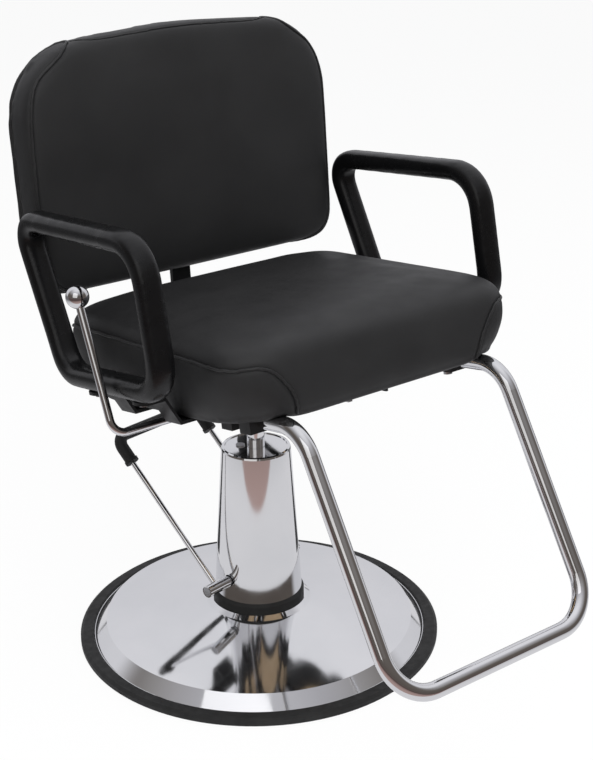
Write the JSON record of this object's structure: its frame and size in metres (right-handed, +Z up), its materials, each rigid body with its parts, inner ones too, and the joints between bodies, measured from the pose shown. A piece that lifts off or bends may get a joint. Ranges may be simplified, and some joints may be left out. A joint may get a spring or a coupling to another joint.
{
  "type": "salon chair",
  "caption": "Hydraulic salon chair with a padded seat, reclining back, loop arms, bent tube footrest, foot pump pedal and round base.",
  "frame": {"origin": "on the floor at the middle of the round base, on the axis of the pump", "axes": "+Z up along the pump, -Y the way the sitter faces, +X the sitter's left"},
  "size_m": [0.694, 0.8887, 1.0063],
  "materials": {
    "bright_chrome": "polished plating",
    "black_rubber": "satin moulded rubber",
    "arm_skin": "self-skinned urethane with a soft sheen",
    "black_vinyl": "matte vinyl-coated upholstery cloth over foam",
    "plywood": "bare plywood",
    "black_steel": "black enamel",
    "bearing_plastic": "moulded bearing plastic",
    "plain_steel": "zinc plated"
  },
  "bodies": {
    "base": {"base_trim": "black_rubber", "base_disc": "black_steel", "base_cover": "bright_chrome", "pump_housing": "black_steel", "pump_bolts": "plain_steel", "ram_bush": "bearing_plastic", "pump_cap": "bright_chrome", "cap_screw": "plain_steel", "pump_sleeve": "bright_chrome", "sleeve_seal": "black_rubber"},
    "lift": {"piston": "plain_steel", "piston_ring": "black_rubber"},
    "pedal": {"pedal_axle": "plain_steel", "pedal_hub_left": "bright_chrome", "pedal_hub_right": "bright_chrome", "pedal_rod": "bright_chrome", "pedal_grip": "black_rubber"},
    "seat": {"ram": "bright_chrome", "seat_board": "plywood", "frame_bolts": "plain_steel", "arm_strap_front": "black_steel", "arm_strap_rear": "black_steel", "arm_bolts": "plain_steel", "seat_frame": "black_steel", "hub_plate": "black_steel", "swivel_hub": "black_steel", "hub_bolts": "plain_steel", "arm_left": "arm_skin", "arm_right": "arm_skin", "footrest": "bright_chrome", "footrest_clamps_left": "black_steel", "footrest_clamps_right": "black_steel", "clamp_screws": "plain_steel", "seat_cushion": "black_vinyl", "hinge_pin": "plain_steel", "hinge_washers": "bearing_plastic", "lock_cylinder": "plain_steel", "lock_hangers": "black_steel", "lever_bush": "bearing_plastic", "lever_support": "black_steel", "lever_guide": "bearing_plastic"},
    "back": {"pivot_tube": "black_steel", "crank_pin": "plain_steel", "back_bar": "black_steel", "bar_screws": "plain_steel", "back_cushion": "black_vinyl", "back_board": "plywood", "back_panel": "black_vinyl"},
    "lock_rod": {"lock_rod": "plain_steel"},
    "release_pin": {"release_pin": "plain_steel"},
    "lever": {"lever_rod": "bright_chrome", "lever_knob": "bright_chrome", "lever_finger": "plain_steel"}
  },
  "joints": [
    {"name": "lift", "type": "slide", "parent": "base", "child": "lift", "axis": [0, 0, 1], "range_m": [-0.06, 0.09]},
    {"name": "seat_swivel", "type": "hinge", "parent": "lift", "child": "seat", "pos_m": [0, 0, 0.3], "axis": [0, 0, 1], "continuous": true},
    {"name": "back_recline", "type": "hinge", "parent": "seat", "child": "back", "pos_m": [0, 0.12764, 0.42887], "axis": [-1, 0, 0], "range_deg": [0, 45]},
    {"name": "lock_rod_slide", "type": "slide", "parent": "seat", "child": "lock_rod", "axis": [0, -0.9833, 0.1822], "range_m": [0, 0.02449]},
    {"name": "recline_lever", "type": "hinge", "parent": "seat", "child": "lever", "pos_m": [0, -0.1275, 0.49548], "axis": [1, 0, 0], "range_deg": [0, 9.5], "stiffness_Nm_per_rad": 4, "springref_deg": -14.32},
    {"name": "release_pin_slide", "type": "slide", "parent": "seat", "child": "release_pin", "axis": [0, 0.9833, -0.1822], "range_m": [0, 0.00893]},
    {"name": "pump_pedal", "type": "hinge", "parent": "base", "child": "pedal", "pos_m": [0, 0, 0.118], "axis": [-0.9848, -0.1736, 0], "range_deg": [0, 27], "stiffness_Nm_per_rad": 6, "springref_deg": -34.38}
  ],
  "couplings": [
    {"joint": "lock_rod_slide", "follows": "back_recline", "m_per_rad": 0.031184},
    {"joint": "release_pin_slide", "follows": "recline_lever", "m_per_rad": 0.052064}
  ]
}
